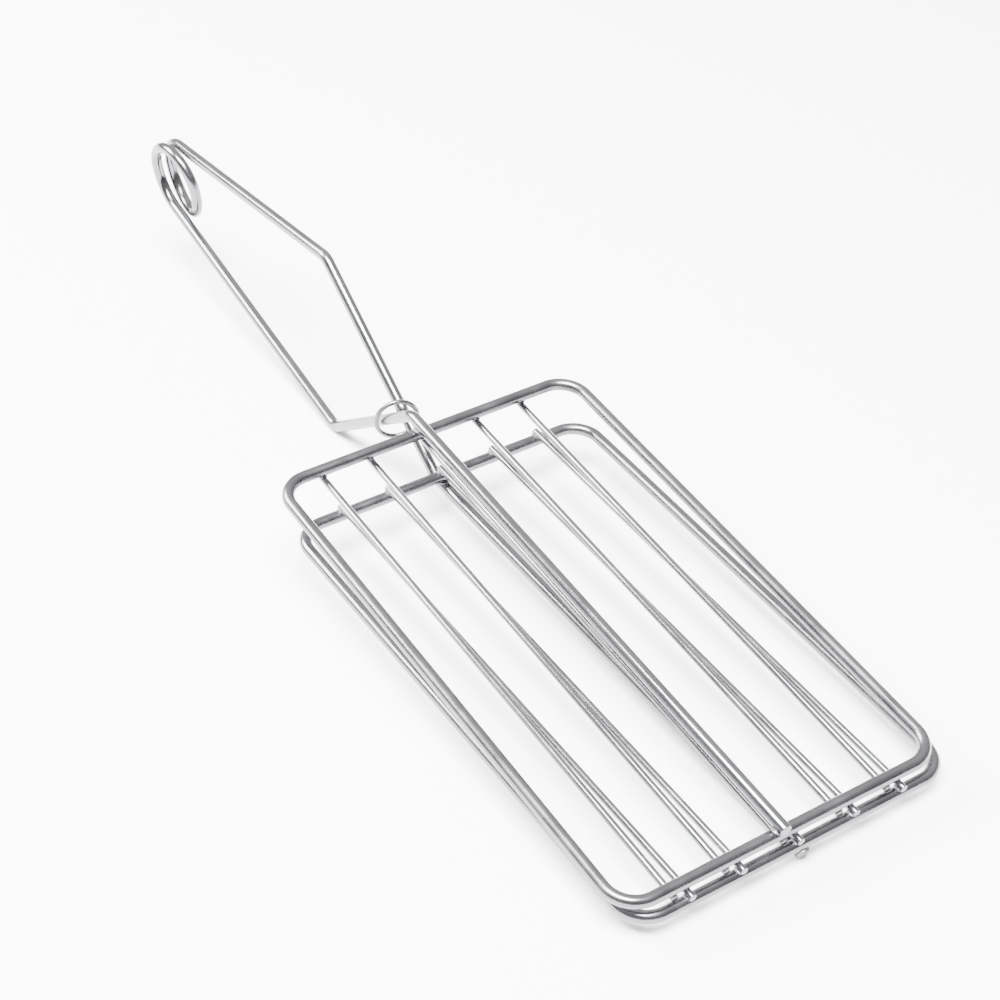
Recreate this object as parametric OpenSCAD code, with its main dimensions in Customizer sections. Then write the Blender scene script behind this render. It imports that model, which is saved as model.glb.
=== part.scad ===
// Sprung toasting tongs for a filled sandwich, bent from chromed steel wire.
// Two barred frames close on the sandwich. One long wire carries them both: it runs along the
// top of the upper frame and under the handle, winds into a spring at the tail, and comes back
// over the handle and along the underside of the lower frame. Its two arms cross in a ring.

/* [Wire] */
// Diameter of the long wire and of the wire of both frames
wire_d = 4; // [3:0.1:5]
// Diameter of the rods that bar the frames
rod_d = 2.3; // [1.6:0.1:3]
// Depth that a spot weld presses two crossing wires into each other
weld_sink = 0.2; // [0.1:0.01:0.22]
// How much thinner the wire's radius is in its bends, where bending draws it
bend_thinning = 0.01; // [0.005:0.005:0.03]

/* [Frames] */
// Width of both frames, between wire centres
frame_w = 112.5; // [95:0.5:140]
// Length of the upper frame, between wire centres
upper_frame_l = 188; // [150:0.2:220]
// Length of the lower frame, between wire centres
lower_frame_l = 184.8; // [150:0.2:220]
// Corner radius of the frames, at the wire's centre
corner_r = 9.6; // [6:0.2:14]
// Gap between the closed frames at the front
closed_gap = 0.3; // [0.2:0.1:2]
// Angle at which the closed frames stand apart, towards the handle
wedge_angle = 3.3; // [1:0.1:6]
// How far the lower frame's front wire stands before the upper one's
front_lead = 2.2; // [0:0.1:5]
// How far the lower frame sits to the left of the upper one
lower_frame_side = 3.4; // [-5:0.1:5]

/* [Rods] */
// From the middle rod to the inner rods, as a share of the frames' width
inner_share = 0.18; // [0.15:0.002:0.21]
// From the middle rod to the outer rods, as a share of the frames' width
outer_share = 0.338; // [0.3:0.002:0.36]
// Sideways place of the upper frame's set of rods
upper_rods_side = -1.9; // [-4:0.1:4]
// Sideways place of the lower frame's set of rods
lower_rods_side = -0.6; // [-4:0.1:4]
// How far the rods run past the centre of the rear wire
rod_rear_end = 1.2; // [0.5:0.1:5]
// How far the rods run past the centre of the front wire
rod_front_end = 1.8; // [0.5:0.1:5]

/* [Handle] */
// How far the lower arm stands to the right of the upper frame's middle
lower_arm_side = 3.2; // [2.6:0.1:5]
// How far the upper arm stands to the left of the upper frame's middle
upper_arm_side = 3.5; // [2.6:0.1:5]
// Radius of the arms' bends, at the wire's centre
bend_r = 7; // [4:0.5:10]
// From the upper frame's rear wire back to the corner where the lower arm leaves it
top_corner_back = 5.3; // [4.8:0.1:12]
// Slope of the lower arm's rise to the upper frame
rise_angle = 41.9; // [35:0.1:50]
// Depth of the lower arm's grip bend below the upper frame's wire centres
grip_bend_drop = 37.9; // [30:0.1:45]
// From the lower frame's rear wire back to the corner where the upper arm leaves it
low_corner_back = 4; // [3.6:0.1:12]
// Slope of the upper arm's fall to the lower frame
fall_angle = 28.5; // [25:0.1:33]
// Height of the upper arm's elbow above the upper frame's wire centres
elbow_height = 19.8; // [15:0.1:25]
// Sideways turn of the upper arm where it runs along the lower frame
bar_turn = 0.4; // [0:0.1:1]
// How far the lower arm runs past the centre of the upper frame's front wire
top_bar_end = 2.5; // [0.5:0.1:5]
// How far the upper arm runs past the centre of the lower frame's front wire
low_bar_end = 1.4; // [0.5:0.1:5]

/* [Spring coil] */
// From the upper frame's rear wire back to the coil's centre
coil_back = 174; // [150:0.2:200]
// Depth of the coil's centre below the upper frame's wire centres
coil_drop = 11; // [5:0.1:18]
// How far the coil's centre stands to the left of the upper frame's middle
coil_side = -0.2; // [-0.6:0.1:0.6]
// Radius of the coil, at the wire's centre
coil_r = 13; // [9:0.1:14]
// How far the coil winds to the left in each half turn
coil_shift = 2.8; // [2.6:0.1:3.4]
// Lean of the coil's axis, its left end up
coil_lean = 8; // [0:0.5:10]
// Straight wire between the coil's bent stretches
coil_step = 0.4; // [0.2:0.1:1]

/* [Guide ring] */
// Diameter of the ring's wire
ring_wire_d = 1.6; // [1:0.1:2.2]
// Play between the ring and the two arms that lie side by side in it
ring_play = 0.63; // [0.5:0.01:1.5]
// Turn of the ring about its upright axis
ring_turn = -18; // [-22:1:-5]
// Lean of the ring towards the frames
ring_lean = 4; // [0:1:8]
// How far before the arms' crossing the ring hangs
ring_forward = 0.9; // [0:0.1:1.2]
// How far below the arms' crossing the ring hangs
ring_hang = 0.6; // [0:0.1:1]

/* [Hidden] */
$fn = 48;

// How far a bend reaches into the straight wire on each side of it
bend_lap = 0.1;
wire_r = wire_d / 2;
rod_r = rod_d / 2;

// Heights between centres of wires that are welded across each other
rod_to_frame = wire_r + rod_r - weld_sink;
arm_to_frame = wire_d - weld_sink;

// Places of the five rods across a frame, before the set's own shift
rod_places = frame_w * [-outer_share, -inner_share, 0, inner_share, outer_share];

// Side view, as [forward, up], from the middle of the upper frame's plane
function along(angle) = [cos(angle), sin(angle)];
function above(angle) = [-sin(angle), cos(angle)];
function angle_of(v) = atan2(v.y, v.x);
function meeting(p, u, q, v) =
    p + u * ((q.x - p.x) * v.y - (q.y - p.y) * v.x) / (u.x * v.y - u.y * v.x);
// Point where a line from p touches the coil, on the side given by -1 below or 1 above
function touching(p, centre, r, side) =
    let (d = p - centre, a = angle_of(d) + side * acos(r / norm(d)))
    centre + r * along(a);

upper_rear = [-upper_frame_l / 2, 0];
upper_front = [upper_frame_l / 2, 0];

lower_front = [upper_front.x + front_lead, -(rod_to_frame + rod_r + wire_r + closed_gap)];
lower_mid = lower_front - along(wedge_angle) * lower_frame_l / 2;
lower_rear = lower_front - along(wedge_angle) * lower_frame_l;

// Lower arm: coil, grip bend, top corner, front end on the upper frame
top_corner = upper_rear + [-top_corner_back, arm_to_frame];
grip_bend = top_corner - along(rise_angle) * (arm_to_frame + grip_bend_drop) / sin(rise_angle);
lower_arm_end = upper_front + [top_bar_end, arm_to_frame];

// Upper arm: coil, elbow, low corner, front end under the lower frame
low_corner = lower_rear - along(wedge_angle) * low_corner_back - above(wedge_angle) * arm_to_frame;
elbow = low_corner + along(180 - fall_angle) * (elbow_height - low_corner.y) / sin(fall_angle);
bar_l = low_corner_back + lower_frame_l + low_bar_end;
bar_end = low_corner + along(wedge_angle) * bar_l * cos(bar_turn);

// Where the two arms cross, seen from the side, and the ring that holds them there
crossing = meeting(top_corner, along(rise_angle), low_corner, along(180 - fall_angle));
ring_side = (upper_arm_side - lower_arm_side) / 2;
ring_r = (lower_arm_side + upper_arm_side + wire_d + ring_wire_d) / 2 / cos(ring_turn) + ring_play;
ring_centre = crossing + [ring_forward, -ring_hang];

// The coil has its own places: forward, to the left along its axis, and up, from its centre.
// Its two half turns have a radius of their own, because they wind sideways.
coil_centre = upper_rear - [coil_back, coil_drop];
half_turn_r = norm([coil_r, coil_shift / 2]);
half_turn_tilt = atan2(coil_shift, 2 * coil_r);
function at(p, side) = [p.x, side, p.y];
function out_of_coil(v) =
    [v.x, v.y * cos(coil_lean) - v.z * sin(coil_lean), v.y * sin(coil_lean) + v.z * cos(coil_lean)];
function into_coil(p) =
    let (v = p - at(coil_centre, coil_side))
    [v.x, v.y * cos(coil_lean) + v.z * sin(coil_lean), v.z * cos(coil_lean) - v.y * sin(coil_lean)];

// Each arm leaves the coil in an upright plane through the corner that it heads for. The plane
// holds the rearmost point of the first or the last turn, and starts there.
lower_start = [-coil_r, -coil_shift, 0];
upper_start = [-coil_r, coil_shift, 0];
lower_heading = into_coil(at(grip_bend, -lower_arm_side)) - lower_start;
upper_heading = into_coil(at(elbow, upper_arm_side)) - upper_start;
lower_yaw = atan2(lower_heading.y, lower_heading.x);
upper_yaw = atan2(upper_heading.y, upper_heading.x);
function in_plane(v) = [norm([v.x, v.y]), v.z];
turn_centre = [coil_r, 0];
lower_touch = touching(in_plane(lower_heading), turn_centre, coil_r, -1);
upper_touch = touching(in_plane(upper_heading), turn_centre, coil_r, 1);
lower_sweep = 180 + angle_of(lower_touch - turn_centre);
upper_sweep = 180 - angle_of(upper_touch - turn_centre);
function from_plane(p, yaw) = [p.x * cos(yaw), p.x * sin(yaw), p.y];

// Corners of the two arms, from the coil to the frames
function on_coil(p) = at(coil_centre, coil_side) + out_of_coil(p);
lower_corners = [
    on_coil(lower_start + from_plane(lower_touch, lower_yaw)),
    at(grip_bend, -lower_arm_side),
    at(top_corner, -lower_arm_side),
    at(lower_arm_end, -lower_arm_side)
];
upper_corners = [
    on_coil(upper_start + from_plane(upper_touch, upper_yaw)),
    at(elbow, upper_arm_side),
    at(low_corner, upper_arm_side),
    at(bar_end, upper_arm_side + bar_l * sin(bar_turn))
];

// Runs of a wire through corners: straight, roll and bend at each of them. The wire's first
// straight starts as far past the first corner as given, with its plane's normal as given.
function unit(v) = v / norm(v);
function cut_by(turn) = bend_r * tan(turn / 2);
function runs_through(corners, start, normal) =
    let (
        last = len(corners) - 2,
        ways = [for (i = [0:last]) unit(corners[i + 1] - corners[i])],
        turns = [for (i = [0:last]) i < last ? acos(ways[i] * ways[i + 1]) : 0],
        normals = [for (i = [0:last]) i == 0 ? normal : unit(cross(ways[i - 1], ways[i]))],
        rolls = [
            for (i = [0:last]) i == last ? 0
                : atan2(cross(normals[i], normals[i + 1]) * ways[i], normals[i] * normals[i + 1])
        ]
    )
    [
        for (i = [0:last]) [
            norm(corners[i + 1] - corners[i]) - cut_by(turns[i]) - (i == 0 ? start : cut_by(turns[i - 1])),
            rolls[i], turns[i], i < last ? bend_r : 0
        ]
    ];
function plane_normal(yaw) = out_of_coil([sin(yaw), -cos(yaw), 0]);
lower_arm_runs = runs_through(lower_corners, wire_d, plane_normal(lower_yaw));
upper_arm_runs = runs_through(upper_corners, wire_d, plane_normal(upper_yaw));
coil_runs = [
    [wire_d, 0, -lower_sweep, coil_r],
    [coil_step, half_turn_tilt - lower_yaw, -180, half_turn_r],
    [2 * coil_step, 2 * half_turn_tilt, -180, half_turn_r],
    [coil_step, half_turn_tilt + upper_yaw, -upper_sweep, coil_r],
    [wire_d, 0, 0, 0]
];

// Points along the coil's centre line, in the coil's own places
coil_steps = 24;
function turned_point(angle, start, yaw) =
    start + from_plane(turn_centre + coil_r * along(180 - angle), yaw);
function half_turn_point(angle, side) =
    [half_turn_r * cos(angle) * cos(half_turn_tilt),
     side * (coil_shift / 2 - half_turn_r * cos(angle) * sin(half_turn_tilt)),
     half_turn_r * sin(angle) - side * coil_step];
coil_points = concat(
    [for (i = [coil_steps:-1:1]) turned_point(-lower_sweep * i / coil_steps, lower_start, lower_yaw)],
    [for (i = [0:coil_steps - 1]) half_turn_point(180 - 180 * i / coil_steps, -1)],
    [for (i = [0:coil_steps - 1]) half_turn_point(-180 * i / coil_steps, 1)],
    [for (i = [0:coil_steps]) turned_point(upper_sweep * i / coil_steps, upper_start, upper_yaw)]
);
// Points this many steps apart lie on neighbouring turns
turn_steps = 2 * coil_steps - 4;
coil_gap = min([
    for (i = [0:len(coil_points) - 1], j = [i + turn_steps:1:len(coil_points) - 1])
        norm(coil_points[i] - coil_points[j])
]) - wire_d;
echo(str("Least gap of the spring coil to itself: ", coil_gap, " mm"));

// The tongs lie on the grip bend and on the front end of the bar under the lower frame
lower_way = unit(lower_corners[1] - lower_corners[0]);
lower_angle = angle_of([lower_way.x, lower_way.z]);
grip_centre = grip_bend - along(lower_angle) * cut_by(rise_angle - lower_angle)
    + above(lower_angle) * bend_r;
front_foot = bar_end - above(wedge_angle) * wire_r;
foot_to_grip = grip_centre - front_foot;
ground_tilt = angle_of(-foot_to_grip) + asin((bend_r + wire_r) / norm(foot_to_grip));

function tilted(p) =
    [p.x * cos(ground_tilt) + p.y * sin(ground_tilt), p.y * cos(ground_tilt) - p.x * sin(ground_tilt)];

// Middle of the whole outline on the ground
rear_reach = tilted(coil_centre).x - coil_r - wire_r;
lower_tilt = ground_tilt - wedge_angle;
front_reach = max([
    tilted(lower_front).x + wire_r,
    tilted(bar_end).x + wire_r * sin(lower_tilt),
    tilted(lower_front + along(wedge_angle) * rod_front_end + above(wedge_angle) * rod_to_frame).x
        + rod_r * sin(lower_tilt)
]);
middle_x = (rear_reach + front_reach) / 2;
right_reach = min(0, lower_frame_side) - frame_w / 2;
left_reach = max(0, lower_frame_side) + frame_w / 2;
middle_y = (right_reach + left_reach) / 2;

// Turns and lifts a piece from the upper frame's own place to the ground
module on_ground() {
    translate([-middle_x, -middle_y, -tilted(front_foot).y]) rotate([0, ground_tilt, 0]) children();
}

// Puts a piece that is drawn in a frame's own plane in the lower frame's place
module on_lower_frame() {
    translate([lower_mid.x, lower_frame_side, lower_mid.y]) rotate([0, -wedge_angle, 0]) children();
}

// A wire is a list of runs. Each run is a straight length, then a roll about the wire, then a
// bend by an angle, to the left where it is positive, and the bend's radius at the wire's centre.
module run_shape(run, d) {
    length = run[0];
    bend = run[2];
    r = run[3];
    rotate([0, 90, 0]) cylinder(h = length, d = d);
    if (bend != 0) {
        lap = bend_lap / r * 180 / PI;
        translate([length, 0, 0]) rotate([run[1], 0, 0]) translate([0, sign(bend) * r, 0])
            rotate(bend > 0 ? -90 - lap : 90 + bend - lap) rotate_extrude(angle = abs(bend) + 2 * lap)
            translate([r, 0]) circle(d = d - 2 * bend_thinning);
    }
}

// Goes to the end of a run
module past_run(run) {
    side = sign(run[2]) * run[3];
    translate([run[0], 0, 0]) rotate([run[1], 0, 0]) translate([0, side, 0]) rotate(run[2])
        translate([0, -side, 0]) children();
}

// Goes past the first runs of a wire
module past_runs(runs, count, first = 0) {
    if (first < count) past_run(runs[first]) past_runs(runs, count, first + 1) children();
    else children();
}

module wire(runs, d) {
    for (i = [0:len(runs) - 1]) past_runs(runs, i) run_shape(runs[i], d);
}

// Closed wire in the shape of a rectangle with round corners
module wire_loop(l, w) {
    side = [l - 2 * corner_r, 0, 90, corner_r];
    end = [w - 2 * corner_r, 0, 90, corner_r];
    translate([corner_r - l / 2, -w / 2, 0]) wire([side, end, side, end], wire_d);
}

// Rod that lies across the front and rear wires of a frame
module rod(l, place, height) {
    translate([-l / 2 - rod_rear_end, place, height]) rotate([0, 90, 0])
        cylinder(h = l + rod_rear_end + rod_front_end, d = rod_d);
}

// Goes to the place where the lower arm leaves the coil, heading for the frames. The quarter
// turn about the forward axis stands the arm's plane upright.
module from_coil() {
    on_ground() translate(at(coil_centre, coil_side)) rotate([coil_lean, 0, 0])
        translate(lower_start) rotate(lower_yaw) rotate([90, 0, 0])
        translate([lower_touch.x, lower_touch.y, 0]) rotate(lower_sweep - 90)
        translate([wire_d, 0, 0]) children();
}

module lower_arm() {
    color("silver") from_coil() wire(lower_arm_runs, wire_d);
}

module spring_coil() {
    color("silver") from_coil() rotate(180) wire(coil_runs, wire_d);
}

module upper_arm() {
    color("silver") from_coil() rotate(180) past_runs(coil_runs, len(coil_runs))
        wire(upper_arm_runs, wire_d);
}

module guide_ring() {
    color("gainsboro") on_ground() translate([ring_centre.x, ring_side, ring_centre.y])
        rotate([0, 90 - ring_lean, ring_turn])
        rotate_extrude() translate([ring_r, 0]) circle(d = ring_wire_d);
}

module upper_frame() {
    color("lightsteelblue") on_ground() wire_loop(upper_frame_l, frame_w);
}

module lower_frame() {
    color("lightslategray") on_ground() on_lower_frame() wire_loop(lower_frame_l, frame_w);
}

module upper_rod(number) {
    color("whitesmoke") on_ground()
        rod(upper_frame_l, rod_places[number - 1] + upper_rods_side, -rod_to_frame);
}

module lower_rod(number) {
    color("lightgray") on_ground() on_lower_frame()
        rod(lower_frame_l, rod_places[number - 1] + lower_rods_side, rod_to_frame);
}

lower_arm();
spring_coil();
upper_arm();
guide_ring();
upper_frame();
lower_frame();
upper_rod(1);  // upper_rod_1
upper_rod(2);  // upper_rod_2
upper_rod(3);  // upper_rod_3
upper_rod(4);  // upper_rod_4
upper_rod(5);  // upper_rod_5
lower_rod(1);  // lower_rod_1
lower_rod(2);  // lower_rod_2
lower_rod(3);  // lower_rod_3
lower_rod(4);  // lower_rod_4
lower_rod(5);  // lower_rod_5
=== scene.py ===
# %% [markdown]
# # Sprung toasting tongs of chromed wire
# These tongs hold a filled sandwich while it toasts. They are made of nothing but round steel wire:
# two barred frames, one long wire that carries both and winds into a spring at the tail, and a
# small ring that keeps the two arms of the handle together where they cross.
# The lesson loads the solid model first. It gives every place and size, and the wires are then
# drawn again over it, rounder and with their bends, welds and cut ends.

# %% Load the solid model
import math
import random

import bmesh
import bpy
from mathutils import Euler, Matrix, Vector, noise


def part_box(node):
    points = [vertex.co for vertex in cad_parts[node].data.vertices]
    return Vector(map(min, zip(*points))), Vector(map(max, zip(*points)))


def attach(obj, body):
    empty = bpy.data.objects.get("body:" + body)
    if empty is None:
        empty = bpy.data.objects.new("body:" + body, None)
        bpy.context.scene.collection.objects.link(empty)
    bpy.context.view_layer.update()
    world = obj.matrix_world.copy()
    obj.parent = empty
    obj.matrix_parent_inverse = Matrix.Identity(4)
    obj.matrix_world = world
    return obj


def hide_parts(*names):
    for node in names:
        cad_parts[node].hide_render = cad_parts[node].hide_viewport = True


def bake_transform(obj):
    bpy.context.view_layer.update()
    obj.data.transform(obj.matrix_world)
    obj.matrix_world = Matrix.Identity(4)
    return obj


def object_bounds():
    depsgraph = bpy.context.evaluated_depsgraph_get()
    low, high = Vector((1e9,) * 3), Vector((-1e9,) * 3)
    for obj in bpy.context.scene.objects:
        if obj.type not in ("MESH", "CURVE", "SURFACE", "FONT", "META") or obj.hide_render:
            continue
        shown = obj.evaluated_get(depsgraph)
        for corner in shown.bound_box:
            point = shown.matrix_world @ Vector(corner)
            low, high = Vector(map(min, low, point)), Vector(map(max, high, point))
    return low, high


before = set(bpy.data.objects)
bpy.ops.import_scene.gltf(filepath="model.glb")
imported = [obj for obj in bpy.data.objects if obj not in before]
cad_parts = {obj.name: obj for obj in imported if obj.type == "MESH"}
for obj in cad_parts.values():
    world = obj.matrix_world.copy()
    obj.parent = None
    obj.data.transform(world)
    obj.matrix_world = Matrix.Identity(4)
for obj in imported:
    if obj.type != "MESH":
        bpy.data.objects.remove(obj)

cad_low, cad_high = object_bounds()
print("Solid model, mm:", [round(v * 1000, 1) for v in cad_high - cad_low])

# %% [markdown]
# ## Sizes
# A wire is known by its diameter and by the line that its centre follows. These are the sizes
# of the solid model again, in millimetres. The side view is worked out in the plane of the upper
# frame, with x forward and y up, as a maker would draw it before bending the wire.

# %% Sizes of the wires
MM = 0.001
WIRE_R = 2.0
ROD_R = 1.15
RING_WIRE_R = 0.8
WELD_SINK = 0.2
BEND_R = 7.0
CORNER_R = 9.6

# %% Sizes of the frames
FRAME_W = 112.5
UPPER_L = 188.0
LOWER_L = 184.8
WEDGE = 3.3
LOWER_SIDE = 3.4
FRONT_LEAD = 2.2
CLOSED_GAP = 0.3
ROD_PLACES = [FRAME_W * share for share in (-0.338, -0.18, 0.0, 0.18, 0.338)]
UPPER_RODS_SIDE = -1.9
LOWER_RODS_SIDE = -0.6
ROD_REAR_END = 1.2
ROD_FRONT_END = 1.8
ROD_UP = WIRE_R + ROD_R - WELD_SINK
ARM_UP = 2 * WIRE_R - WELD_SINK

# %% Sizes of the handle
LOWER_ARM_SIDE = 3.2
UPPER_ARM_SIDE = 3.5
TOP_BAR_END = 2.5
LOW_BAR_END = 1.4
TOP_CORNER_BACK = 5.3
RISE = 41.9
GRIP_BEND_DROP = 37.9
LOW_CORNER_BACK = 4.0
FALL = 28.5
ELBOW_HEIGHT = 19.8
BAR_TURN = 0.4

# %% Sizes of the spring coil
COIL_R = 13.0
COIL_BACK = 174.0
COIL_DROP = 11.0
COIL_SIDE = -0.2
COIL_SHIFT = 2.8
COIL_LEAN = 8.0
COIL_STEP = 0.4


# %% Side view
def along(angle):
    """Forward and up along a slope, in degrees."""
    return Vector((math.cos(math.radians(angle)), math.sin(math.radians(angle))))


def above(angle):
    return Vector((-math.sin(math.radians(angle)), math.cos(math.radians(angle))))


def slope(v):
    return math.degrees(math.atan2(v.y, v.x))


def touching(point, centre, radius, side):
    """Where a line from the point touches the coil, below it for -1 or above it for 1."""
    d = point - centre
    return centre + radius * along(slope(d) + side * math.degrees(math.acos(radius / d.length)))


# %% Corners of the long wire, in the side view
upper_rear = Vector((-UPPER_L / 2, 0))
upper_front = Vector((UPPER_L / 2, 0))
lower_front = upper_front + Vector((FRONT_LEAD, -(ROD_UP + ROD_R + WIRE_R + CLOSED_GAP)))
lower_mid = lower_front - along(WEDGE) * LOWER_L / 2
lower_rear = lower_front - along(WEDGE) * LOWER_L
coil_centre = upper_rear - Vector((COIL_BACK, COIL_DROP))
top_corner = upper_rear + Vector((-TOP_CORNER_BACK, ARM_UP))
rise_l = (ARM_UP + GRIP_BEND_DROP) / math.sin(math.radians(RISE))
grip_bend = top_corner - along(RISE) * rise_l
low_corner = lower_rear - along(WEDGE) * LOW_CORNER_BACK - above(WEDGE) * ARM_UP
fall_l = (ELBOW_HEIGHT - low_corner.y) / math.sin(math.radians(FALL))
elbow = low_corner + along(180 - FALL) * fall_l
lower_arm_end = upper_front + Vector((TOP_BAR_END, ARM_UP))
bar_l = LOW_CORNER_BACK + LOWER_L + LOW_BAR_END
bar_end = low_corner + along(WEDGE) * bar_l * math.cos(math.radians(BAR_TURN))
print("Coil centre:", [round(v, 2) for v in coil_centre], "elbow:", [round(v, 2) for v in elbow])


# %% Helpers for places in space
def turn(angle, axis):
    return Matrix.Rotation(math.radians(angle), 4, axis)


def shift(x, y, z):
    return Matrix.Translation((x, y, z))


def at(point, side):
    """A side view point, moved to the left."""
    return Vector((point.x, side, point.y))


# %% [markdown]
# ## How the arms leave the coil
# The coil winds to the left as it turns, and its axis leans a little, as a bent wire does when it
# is pulled into the ring. Each arm leaves it in the upright plane, as the coil sees it, that holds
# the rearmost point of its turn and the corner that the arm heads for. In that plane the arm is a
# line from the corner that just touches the circle. Set by eye, it would meet the coil with a kink,
# so the touching point is worked out.

# %% Planes of the two arms at the coil
coil_place = shift(coil_centre.x, COIL_SIDE, coil_centre.y) @ turn(COIL_LEAN, "X")
turn_centre = Vector((COIL_R, 0))


def leave_coil(start, corner, side):
    """The arm's yaw in the coil's frame, where it touches the circle, and how far that turns."""
    heading = coil_place.inverted() @ corner - start
    yaw = math.degrees(math.atan2(heading.y, heading.x))
    flat = Vector((math.hypot(heading.x, heading.y), heading.z))
    touch = touching(flat, turn_centre, COIL_R, side)
    return yaw, touch, 180 - side * slope(touch - turn_centre)


lower_start = Vector((-COIL_R, -COIL_SHIFT, 0))
upper_start = Vector((-COIL_R, COIL_SHIFT, 0))
lower_yaw, lower_touch, lower_sweep = leave_coil(lower_start, at(grip_bend, -LOWER_ARM_SIDE), -1)
upper_yaw, upper_touch, upper_sweep = leave_coil(upper_start, at(elbow, UPPER_ARM_SIDE), 1)
print("End arcs of the coil, degrees:", round(lower_sweep, 1), round(upper_sweep, 1))


# %% Corners of the two arms
def on_coil(start, touch, yaw):
    return coil_place @ (start + turn(yaw, "Z") @ at(touch, 0))


lower_corners = [
    on_coil(lower_start, lower_touch, lower_yaw),
    at(grip_bend, -LOWER_ARM_SIDE),
    at(top_corner, -LOWER_ARM_SIDE),
    at(lower_arm_end, -LOWER_ARM_SIDE),
]
upper_corners = [
    on_coil(upper_start, upper_touch, upper_yaw),
    at(elbow, UPPER_ARM_SIDE),
    at(low_corner, UPPER_ARM_SIDE),
    at(bar_end, UPPER_ARM_SIDE + bar_l * math.sin(math.radians(BAR_TURN))),
]

# %% [markdown]
# ## Where the tongs lie
# They rest on the grip bend at the back and on the end of the long wire at the front, so the upper
# frame slopes a little. One matrix turns the upper frame's own plane to that slope and sets the
# whole on the ground. It goes into the meshes, and the objects themselves stay at the origin,
# unturned. The solid model tells the script whether this came out right.

# %% Slope and height on the ground
def cut_by(angle):
    """How much of each straight a bend of that many degrees takes up."""
    return BEND_R * math.tan(math.radians(angle / 2))


lower_way = lower_corners[1] - lower_corners[0]
lower_angle = slope(Vector((lower_way.x, lower_way.z)))
grip_centre = (
    grip_bend - along(lower_angle) * cut_by(RISE - lower_angle) + above(lower_angle) * BEND_R
)
front_foot = bar_end - above(WEDGE) * WIRE_R
foot_to_grip = grip_centre - front_foot
tilt = slope(-foot_to_grip) + math.degrees(math.asin((BEND_R + WIRE_R) / foot_to_grip.length))
print("Slope of the upper frame:", round(tilt, 3), "degrees")


# %% From the side view to the ground
def side_view_up(point):
    """Height of a side view point once the tongs lie down."""
    t = math.radians(tilt)
    return point.y * math.cos(t) - point.x * math.sin(t)


def side_view_forward(point):
    t = math.radians(tilt)
    return point.x * math.cos(t) + point.y * math.sin(t)


rear_reach = side_view_forward(coil_centre) - COIL_R - WIRE_R
lower_tilt = math.radians(tilt - WEDGE)
front_reach = max(
    side_view_forward(lower_front) + WIRE_R,
    side_view_forward(bar_end) + WIRE_R * math.sin(lower_tilt),
    side_view_forward(lower_front + along(WEDGE) * ROD_FRONT_END + above(WEDGE) * ROD_UP)
    + ROD_R * math.sin(lower_tilt),
)
middle_x = (rear_reach + front_reach) / 2
middle_y = LOWER_SIDE / 2
on_ground = shift(-middle_x, -middle_y, -side_view_up(front_foot)) @ turn(tilt, "Y")
on_lower_frame = on_ground @ shift(lower_mid.x, LOWER_SIDE, lower_mid.y) @ turn(-WEDGE, "Y")

# %% [markdown]
# ## A wire as a row of runs
# A wire bender works in runs: feed some straight wire, roll it about itself, and bend it round a
# pin. Here a run is the same four numbers: straight length, roll, bend and radius of the bend. A
# curve with a round bevel could draw the wire too, but its bends would be only nearly round and its
# ends plain caps. So a circle of points is the wire's section, the straight is an extrusion of that
# circle, and the bend is a spin of it. The tube is then one skin, with no seam between straights
# and bends.

# %% Draw one wire
SIDES = 40
STEP_ANGLE = 3.0


def ring_edges(bm, verts):
    found = set(verts)
    return [e for e in bm.edges if e.verts[0] in found and e.verts[1] in found]


def feed(bm, verts, vector):
    """Extrudes the open end of a tube and returns the new end."""
    made = bmesh.ops.extrude_edge_only(bm, edges=ring_edges(bm, verts))["geom"]
    end = [g for g in made if isinstance(g, bmesh.types.BMVert)]
    bmesh.ops.translate(bm, verts=end, vec=vector)
    return end


def bend(bm, verts, centre, axis, angle):
    steps = max(2, math.ceil(abs(angle) / STEP_ANGLE))
    made = bmesh.ops.spin(
        bm, geom=list(verts) + ring_edges(bm, verts), cent=centre, axis=axis,
        angle=math.radians(angle), steps=steps, use_duplicate=False,
    )["geom_last"]
    return [g for g in made if isinstance(g, bmesh.types.BMVert)]


# %% Follow the runs
def past_run(place, run):
    """The place and direction at the end of a run."""
    length, roll, angle, radius = run
    side = math.copysign(radius, angle) if angle else 0.0
    return (
        place @ shift(length, 0, 0) @ turn(roll, "X") @ shift(0, side, 0)
        @ turn(angle, "Z") @ shift(0, -side, 0)
    )


def sweep(bm, place, runs, radius):
    """Draws a tube along the runs and returns its first end, its last end and the last place."""
    made = bmesh.ops.create_circle(
        bm, segments=SIDES, radius=radius, matrix=place @ turn(90, "Y")
    )
    first = last = made["verts"]
    for run in runs:
        length, roll, angle, bend_radius = run
        if length:
            last = feed(bm, last, place.to_3x3() @ Vector((length, 0, 0)))
        if angle:
            side = math.copysign(bend_radius, angle)
            rolled = place @ shift(length, 0, 0) @ turn(roll, "X")
            axis = rolled.to_3x3() @ Vector((0, 0, 1))
            last = bend(bm, last, rolled @ Vector((0, side, 0)), axis, angle)
        place = past_run(place, run)
    return first, last, place


# %% [markdown]
# ## Runs through corners
# The arms are known by their corners. The bend at a corner is the angle between the two straights,
# and the roll before it is the angle between the planes of this bend and of the one before. They
# could be measured and written down, but worked out like this they follow when a corner moves.

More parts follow.
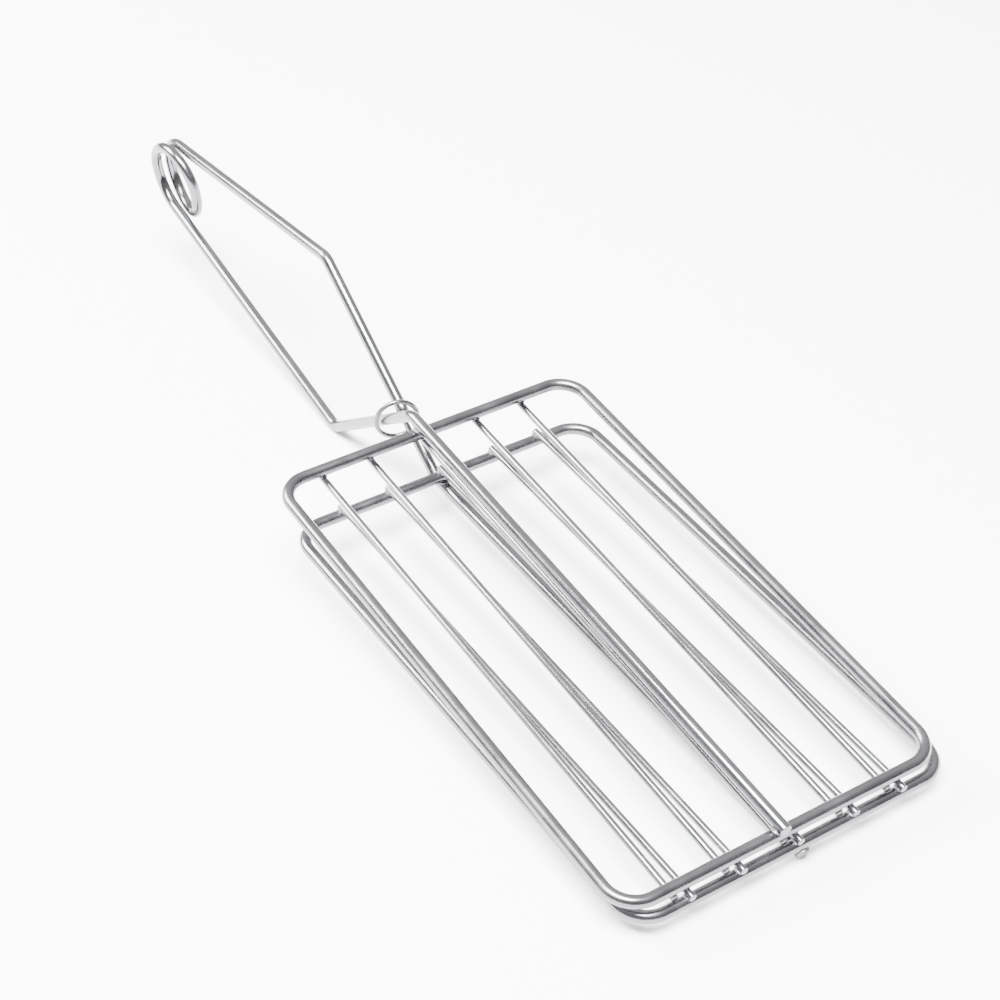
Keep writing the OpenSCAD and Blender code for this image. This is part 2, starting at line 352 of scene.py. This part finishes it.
# %% Runs from corners
def runs_through(corners, start, normal):
    """The first straight starts past the first corner, in a plane with the given normal."""
    ways = [(b - a).normalized() for a, b in zip(corners, corners[1:])]
    runs = []
    cut = start
    for i, way in enumerate(ways):
        length = (corners[i + 1] - corners[i]).length - cut
        if i + 1 == len(ways):
            runs.append((length, 0, 0, 0))
            continue
        angle = math.degrees(way.angle(ways[i + 1]))
        next_normal = way.cross(ways[i + 1]).normalized()
        roll = math.degrees(math.atan2(normal.cross(next_normal) @ way, normal @ next_normal))
        cut, normal = cut_by(angle), next_normal
        runs.append((length - cut, roll, angle, BEND_R))
    return runs


def plane_normal(yaw):
    radians = math.radians(yaw)
    return coil_place.to_3x3() @ Vector((math.sin(radians), -math.cos(radians), 0))


# %% [markdown]
# ## Ends of a wire
# Side cutters shear the wire, and the edge that they leave is broken before plating. So an end is a
# flat face with a small round edge. A Bevel modifier would round every sharp edge of the piece, and
# the operator only bevels the rim of that face. An end that carries on into the next piece of the
# same wire is only closed, because nothing of it shows.

# %% Close the ends
def close_end(bm, verts, edge=0.0):
    face = bmesh.ops.contextual_create(bm, geom=ring_edges(bm, verts))["faces"][0]
    rim = list(face.edges)
    if edge:
        bmesh.ops.bevel(
            bm, geom=rim, offset=edge, offset_type="OFFSET", segments=3, profile=0.5,
            affect="EDGES", material=-1,
        )
    else:
        for e in rim:
            e.smooth = False


# %% Make the mesh into a piece
def add_piece(name, bm, body, finish, node=None):
    """Scales a bmesh from millimetres, and rides it on a body in place of its CAD node."""
    bmesh.ops.remove_doubles(bm, verts=bm.verts, dist=0.0001)
    bmesh.ops.recalc_face_normals(bm, faces=bm.faces)
    bmesh.ops.scale(bm, vec=(MM, MM, MM), verts=bm.verts)
    for face in bm.faces:
        face.smooth = True
    mesh = bpy.data.meshes.new(name)
    bm.to_mesh(mesh)
    bm.free()
    piece = bpy.data.objects.new(name, mesh)
    bpy.context.scene.collection.objects.link(piece)
    mesh.materials.append(finish)
    if node:
        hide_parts(node)
    if body:
        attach(piece, body)
    return piece


# %% Compare a piece with its solid
def check_against(piece, node):
    low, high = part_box(node)
    corners = [piece.matrix_world @ Vector(c) for c in piece.bound_box]
    off = max(
        max(abs(min(c[i] for c in corners) - low[i]), abs(max(c[i] for c in corners) - high[i]))
        for i in range(3)
    )
    print(f"{piece.name}: {len(piece.data.polygons)} faces, off its solid by {off * 1000:.3f} mm")


# %% [markdown]
# ## Colours
# Paints and plated metals are picked from a colour card in sRGB. Blender's shaders want linear
# light, so one function turns a card's hex value into it.

# %% Colour from a hex value
def linear(card):
    parts = [int(card[i : i + 2], 16) / 255 for i in (1, 3, 5)]
    return [p / 12.92 if p <= 0.04045 else ((p + 0.055) / 1.055) ** 2.4 for p in parts] + [1.0]


# %% Add a node with its settings and links
def add_node(tree, kind, settings=None, links=None):
    """settings are the node's own options or input values, and links are input: output socket."""
    node = tree.nodes.new(kind)
    for key, value in (settings or {}).items():
        if isinstance(key, str) and hasattr(node, key):
            setattr(node, key, value)
        else:
            node.inputs[key].default_value = value
    for key, socket in (links or {}).items():
        tree.links.new(socket, node.inputs[key])
    return node


# %% [markdown]
# ## Bright chrome on drawn wire
# Wire is drawn through a die, then bent, welded and plated with nickel and a thin coat of chrome.
# The plating is bright but follows the wire below it: faint waves a few millimetres long, a fine
# speckle, and patches where the shine is a little softer. A plain metal would look too clean, so
# three noises in the piece's own space make these marks, and they need no map laid over the wire.
# Its colour is set a good step darker than fresh chrome, so that the greys it mirrors from a bright
# studio stay as deep as in the photograph. The metal keeps Blender's own IOR.

# %% Sizes of the marks on the chrome
# Millimetres from one mark to the next
PATCH_L = 12.0
WAVE_L = 3.0
SPECKLE_L = 0.4


# %% Chromed wire
def chromed_wire(name, card, roughness, wave):
    material = bpy.data.materials.new(name)
    material.use_nodes = True
    tree = material.node_tree
    tree.nodes.clear()
    place = add_node(tree, "ShaderNodeTexCoord").outputs["Object"]
    # Patches of softer shine
    patches = add_node(
        tree, "ShaderNodeTexNoise",
        {"Scale": 1 / (PATCH_L * MM), "Detail": 3.0, "Roughness": 0.55}, {"Vector": place},
    )
    # Fine speckle of the plating, drawn coarser than the real grain to show
    speckle = add_node(
        tree, "ShaderNodeTexNoise",
        {"Scale": 1 / (SPECKLE_L * MM), "Detail": 2.0, "Roughness": 0.6}, {"Vector": place},
    )
    # Waves of the drawn wire
    waves = add_node(
        tree, "ShaderNodeTexNoise",
        {"Scale": 1 / (WAVE_L * MM), "Detail": 1.0, "Roughness": 0.4}, {"Vector": place},
    )
    shine = add_node(
        tree, "ShaderNodeMapRange",
        {"From Min": 0.3, "From Max": 0.7, "To Min": roughness * 0.75, "To Max": roughness * 1.35},
        {"Value": patches.outputs["Fac"]},
    )
    tone = add_node(tree, "ShaderNodeValToRGB", links={"Fac": patches.outputs["Fac"]})
    base = linear(card)
    tone.color_ramp.elements[0].position = 0.3
    tone.color_ramp.elements[0].color = [c * 0.93 for c in base[:3]] + [1.0]
    tone.color_ramp.elements[1].position = 0.7
    tone.color_ramp.elements[1].color = base
    grain = add_node(
        tree, "ShaderNodeBump", {"Strength": 0.12, "Distance": 0.05 * MM},
        {"Height": speckle.outputs["Fac"]},
    )
    relief = add_node(
        tree, "ShaderNodeBump", {"Strength": wave, "Distance": 0.1 * MM},
        {"Height": waves.outputs["Fac"], "Normal": grain.outputs["Normal"]},
    )
    shader = add_node(
        tree, "ShaderNodeBsdfPrincipled", {"Metallic": 1.0},
        {
            "Base Color": tone.outputs["Color"],
            "Roughness": shine.outputs["Result"],
            "Normal": relief.outputs["Normal"],
        },
    )
    add_node(tree, "ShaderNodeOutputMaterial", links={"Surface": shader.outputs["BSDF"]})
    return material


long_wire_chrome = chromed_wire("bright_chrome_on_long_wire", "#707072", 0.2, 0.18)
frame_chrome = chromed_wire("bright_chrome_on_frame_wire", "#6C6C6E", 0.24, 0.15)
rod_chrome = chromed_wire("bright_chrome_on_thin_wire", "#747476", 0.22, 0.15)
ring_chrome = chromed_wire("bright_chrome_on_ring_wire", "#6A6A6C", 0.24, 0.2)
weld_chrome = chromed_wire("chrome_over_weld", "#626264", 0.4, 0.8)

# %% [markdown]
# ## The long wire
# On the real tongs this is one wire from end to end. Its first arm is welded on the upper frame,
# its second under the lower one, and the coil between them is the spring. When the tongs open, the
# arms go with different frames, so the wire is drawn in three pieces that meet face to face. A
# screw could wind the coil, but its ends wouldn't turn into the arms, so half turns, each rolled a
# little, wind it as a bender would.

# %% Lower arm
start_of_lower_arm = (
    on_ground @ coil_place @ Matrix.Translation(lower_start) @ turn(lower_yaw, "Z") @ turn(90, "X")
    @ shift(lower_touch.x, lower_touch.y, 0) @ turn(lower_sweep - 90, "Z")
    @ shift(2 * WIRE_R, 0, 0)
)
lower_arm_runs = runs_through(lower_corners, 2 * WIRE_R, plane_normal(lower_yaw))
END_EDGE = 0.3
arm_mesh = bmesh.new()
first, last, _ = sweep(arm_mesh, start_of_lower_arm, lower_arm_runs, WIRE_R)
close_end(arm_mesh, first)
close_end(arm_mesh, last, END_EDGE)
lower_arm = add_piece(
    "lower_arm_wire", arm_mesh, "upper_jaw", long_wire_chrome, "lower_arm"
)
check_against(lower_arm, "lower_arm")

# %% Spring coil
half_turn_r = math.hypot(COIL_R, COIL_SHIFT / 2)
half_turn_tilt = math.degrees(math.atan2(COIL_SHIFT, 2 * COIL_R))
coil_runs = [
    (2 * WIRE_R, 0, -lower_sweep, COIL_R),
    (COIL_STEP, half_turn_tilt - lower_yaw, -180, half_turn_r),
    (2 * COIL_STEP, 2 * half_turn_tilt, -180, half_turn_r),
    (COIL_STEP, half_turn_tilt + upper_yaw, -upper_sweep, COIL_R),
    (2 * WIRE_R, 0, 0, 0),
]
coil_mesh = bmesh.new()
first, last, start_of_upper_arm = sweep(
    coil_mesh, start_of_lower_arm @ turn(180, "Z"), coil_runs, WIRE_R
)
close_end(coil_mesh, first)
close_end(coil_mesh, last)
coil = add_piece(
    "spring_coil_wire", coil_mesh, None, long_wire_chrome, "spring_coil"
)
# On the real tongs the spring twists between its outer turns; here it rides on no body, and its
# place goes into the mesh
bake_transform(coil)
check_against(coil, "spring_coil")

# %% Upper arm
upper_arm_runs = runs_through(upper_corners, 2 * WIRE_R, plane_normal(upper_yaw))
arm_mesh = bmesh.new()
first, last, _ = sweep(arm_mesh, start_of_upper_arm, upper_arm_runs, WIRE_R)
close_end(arm_mesh, first)
close_end(arm_mesh, last, END_EDGE)
upper_arm = add_piece(
    "upper_arm_wire", arm_mesh, "lower_jaw", long_wire_chrome, "upper_arm"
)
check_against(upper_arm, "upper_arm")


# %% [markdown]
# ## The frames
# Each frame is one wire bent into a rectangle with round corners, its ends welded to each other.
# The same runs draw it, and the last circle lands on the first, so the tube closes on itself once
# the doubled points are merged.

# %% Both frames
def frame_runs(length, width):
    side = (length - 2 * CORNER_R, 0, 90, CORNER_R)
    end = (width - 2 * CORNER_R, 0, 90, CORNER_R)
    return [side, end, side, end]


def make_frame(node, place, length, body):
    mesh = bmesh.new()
    corner = place @ shift(CORNER_R - length / 2, -FRAME_W / 2, 0)
    sweep(mesh, corner, frame_runs(length, FRAME_W), WIRE_R)
    piece = add_piece(node + "_wire", mesh, body, frame_chrome, node)
    check_against(piece, node)


make_frame("upper_frame", on_ground, UPPER_L, "upper_jaw")
make_frame("lower_frame", on_lower_frame, LOWER_L, "lower_jaw")


# %% [markdown]
# ## The rods
# Five thin rods bar each frame. They lie across its front and rear wires, on the side of the
# sandwich, and a spot weld at each crossing presses them a little into the thicker wire. A cylinder
# would be as round, but one straight run brings the same broken edges as on the other wires.

# %% Ten rods
def make_rod(node, place, length, across, height, body):
    mesh = bmesh.new()
    start = place @ shift(-length / 2 - ROD_REAR_END, across, height)
    run = (length + ROD_REAR_END + ROD_FRONT_END, 0, 0, 0)
    first, last, _ = sweep(mesh, start, [run], ROD_R)
    close_end(mesh, first, END_EDGE / 2)
    close_end(mesh, last, END_EDGE / 2)
    piece = add_piece(node + "_wire", mesh, body, rod_chrome, node)
    check_against(piece, node)


for number, across in enumerate(ROD_PLACES, 1):
    side = across + UPPER_RODS_SIDE
    make_rod(f"upper_rod_{number}", on_ground, UPPER_L, side, -ROD_UP, "upper_jaw")
for number, across in enumerate(ROD_PLACES, 1):
    side = across + LOWER_RODS_SIDE
    make_rod(f"lower_rod_{number}", on_lower_frame, LOWER_L, side, ROD_UP, "lower_jaw")

# %% [markdown]
# ## The guide ring
# A small ring of thin wire hangs where the arms cross and stops them from springing apart sideways.
# A bmesh has no torus to start from, so the wire's section, a circle, spins once round the ring's
# axis. The ring's size is worked out from the arms that it goes round.

# %% Ring
RING_TURN = -18.0
RING_LEAN = 4.0
RING_PLAY = 0.63
RING_FORWARD = 0.9
RING_HANG = 0.6


def meeting(p, u, q, v):
    return p + u * ((q.x - p.x) * v.y - (q.y - p.y) * v.x) / (u.x * v.y - u.y * v.x)


crossing = meeting(top_corner, along(RISE), low_corner, along(180 - FALL))
half_width = (LOWER_ARM_SIDE + UPPER_ARM_SIDE) / 2 + WIRE_R + RING_WIRE_R
ring_r = half_width / math.cos(math.radians(RING_TURN)) + RING_PLAY
ring_side = (UPPER_ARM_SIDE - LOWER_ARM_SIDE) / 2
ring_place = (
    on_ground @ shift(crossing.x + RING_FORWARD, ring_side, crossing.y - RING_HANG)
    @ turn(RING_TURN, "Z") @ turn(90 - RING_LEAN, "Y")
)
ring_mesh = bmesh.new()
bmesh.ops.create_circle(
    ring_mesh, segments=24, radius=RING_WIRE_R,
    matrix=ring_place @ shift(ring_r, 0, 0) @ turn(90, "X"),
)
bmesh.ops.spin(
    ring_mesh, geom=list(ring_mesh.verts) + list(ring_mesh.edges), cent=ring_place.translation,
    axis=ring_place.to_3x3() @ Vector((0, 0, 1)), angle=2 * math.pi, steps=96, use_merge=True,
)
ring = add_piece(
    "guide_ring_wire", ring_mesh, "ring", ring_chrome, "guide_ring"
)
check_against(ring, "guide_ring")

# %% [markdown]
# ## Welds
# A resistance weld squeezes two crossing wires until a little metal flows out round the contact and
# sets as a low, uneven collar. A boolean with a bevel could join the wires, but its line is neater
# than a real weld's. So each bead starts as a ball, gets small random waves, always the same ones,
# and is pressed flat between the two wires.

# %% One bead
ROD_BEAD = (1.75, 1.55, 0.62)
ARM_BEAD = (2.3, 2.3, 0.8)
BEAD_WAVE = 0.22
BEAD_WAVES_ACROSS = 1.6
BEAD_TURN = 12
random.seed(5)


def add_bead(bm, place, size):
    made = bmesh.ops.create_icosphere(bm, subdivisions=4, radius=1.0)["verts"]
    offset = Vector([random.uniform(0, 40) for i in range(3)])
    for vert in made:
        vert.co *= 1 + BEAD_WAVE * noise.noise(vert.co * BEAD_WAVES_ACROSS + offset)
    bmesh.ops.scale(bm, vec=size, verts=made)
    turned = place @ turn(random.uniform(-BEAD_TURN, BEAD_TURN), "Z")
    bmesh.ops.transform(bm, matrix=turned, verts=made)


def weld_rods(bm, place, length, side, height):
    for across in ROD_PLACES:
        for x in (-length / 2, length / 2):
            add_bead(bm, place @ shift(x, across + side, height), ROD_BEAD)


# %% Welds of the upper frame
CONTACT_UP = WIRE_R - WELD_SINK / 2
weld_mesh = bmesh.new()
weld_rods(weld_mesh, on_ground, UPPER_L, UPPER_RODS_SIDE, -CONTACT_UP)
for x in (-UPPER_L / 2, UPPER_L / 2):
    add_bead(weld_mesh, on_ground @ shift(x, -LOWER_ARM_SIDE, CONTACT_UP), ARM_BEAD)
welds = add_piece("upper_frame_welds", weld_mesh, "upper_jaw", weld_chrome)
print("Welds of the upper frame:", len(welds.data.polygons), "faces")

# %% Welds of the lower frame
weld_mesh = bmesh.new()
weld_rods(weld_mesh, on_lower_frame, LOWER_L, LOWER_RODS_SIDE, CONTACT_UP)
turned_in = math.tan(math.radians(BAR_TURN))
for x in (-LOWER_L / 2, LOWER_L / 2):
    from_corner = LOW_CORNER_BACK + LOWER_L / 2 + x
    across = UPPER_ARM_SIDE + from_corner * turned_in - LOWER_SIDE
    add_bead(weld_mesh, on_lower_frame @ shift(x, across, -CONTACT_UP), ARM_BEAD)
welds = add_piece("lower_frame_welds", weld_mesh, "lower_jaw", weld_chrome)
print("Welds of the lower frame:", len(welds.data.polygons), "faces")

# %% [markdown]
# ## Floor, light and camera
# The tongs lie on a plain pale floor under soft studio light. Chrome shows what it mirrors, so the
# light is as much of its look as the metal. Wires that run lengthwise mirror the room behind the
# handle, where a window draws the white line on them. Wires that run across mirror the dim front of
# the room, which makes them darker. The broad soft box overhead lights the floor. The camera stands
# where the photograph was taken from.

# %% Floor
FLOOR_GAP = 0.2
floor_mesh = bmesh.new()
bmesh.ops.create_grid(floor_mesh, x_segments=1, y_segments=1, size=6.0)
floor_data = bpy.data.meshes.new("floor")
floor_mesh.to_mesh(floor_data)
floor_mesh.free()
floor = bpy.data.objects.new("floor", floor_data)
bpy.context.scene.collection.objects.link(floor)
floor.location.z = cad_low.z - FLOOR_GAP * MM
pale = bpy.data.materials.new("pale_matt_floor")
pale.use_nodes = True
matt = pale.node_tree.nodes["Principled BSDF"]
matt.inputs["Base Color"].default_value = linear("#F0F0F2")
matt.inputs["Roughness"].default_value = 0.9
floor_data.materials.append(pale)

# %% Room
world = bpy.data.worlds.new("pale_studio")
bpy.context.scene.world = world
world.use_nodes = True
room = world.node_tree
room.nodes.clear()
direction = add_node(room, "ShaderNodeTexCoord").outputs["Generated"]
height = add_node(room, "ShaderNodeSeparateXYZ", links={"Vector": direction}).outputs["Z"]
shade = add_node(room, "ShaderNodeValToRGB", links={"Fac": height})
shade.color_ramp.elements[0].position = 0.1
shade.color_ramp.elements[0].color = linear("#A8A8AA")
shade.color_ramp.elements[1].position = 0.6
shade.color_ramp.elements[1].color = linear("#FFFFFF")
# A light strip at the foot of the walls, where the floor runs out
shade.color_ramp.elements.new(0.0).color = linear("#FFFFFF")
# The room is brighter behind the handle than before the frames
to_the_rear = add_node(
    room, "ShaderNodeVectorMath", {"operation": "DOT_PRODUCT", 1: (-0.95, 0.3, 0.0)}, {0: direction}
).outputs["Value"]
strength = add_node(
    room, "ShaderNodeMapRange",
    {
        "interpolation_type": "SMOOTHSTEP",
        "From Min": -0.7, "From Max": 0.8, "To Min": 0.85, "To Max": 2.2,
    },
    {"Value": to_the_rear},
).outputs["Result"]
glow = add_node(
    room, "ShaderNodeBackground", links={"Color": shade.outputs["Color"], "Strength": strength}
)
add_node(room, "ShaderNodeOutputWorld", links={"Surface": glow.outputs["Background"]})


# %% Soft boxes
def soft_box(name, place, aim, size, power):
    light = bpy.data.lights.new(name, "AREA")
    light.shape = "RECTANGLE"
    light.size, light.size_y = size
    light.energy = power
    lamp = bpy.data.objects.new(name, light)
    lamp.location = place
    lamp.rotation_euler = (Vector(aim) - Vector(place)).to_track_quat("-Z", "Y").to_euler()
    bpy.context.scene.collection.objects.link(lamp)


soft_box("overhead_soft_box", (0.25, -0.35, 1.4), (0, 0, 0), (1.0, 0.6), 220.0)
soft_box("window_behind_right", (-0.95, -0.65, 0.9), (0, 0, 0), (0.7, 0.7), 95.0)

# %% Camera
camera_data = bpy.data.cameras.new("camera")
camera_data.sensor_width = 36.0
camera_data.lens = 79.908
camera_data.clip_start = 0.01
camera = bpy.data.objects.new("camera", camera_data)
camera_place = Vector((0.49343, -0.31251, 0.46351))
camera_turn = Euler([math.radians(angle) for angle in (51.8311, -1.0723, 56.3162)])
camera.matrix_world = Matrix.LocRotScale(camera_place, camera_turn, None)
bpy.context.scene.collection.objects.link(camera)
bpy.context.scene.camera = camera
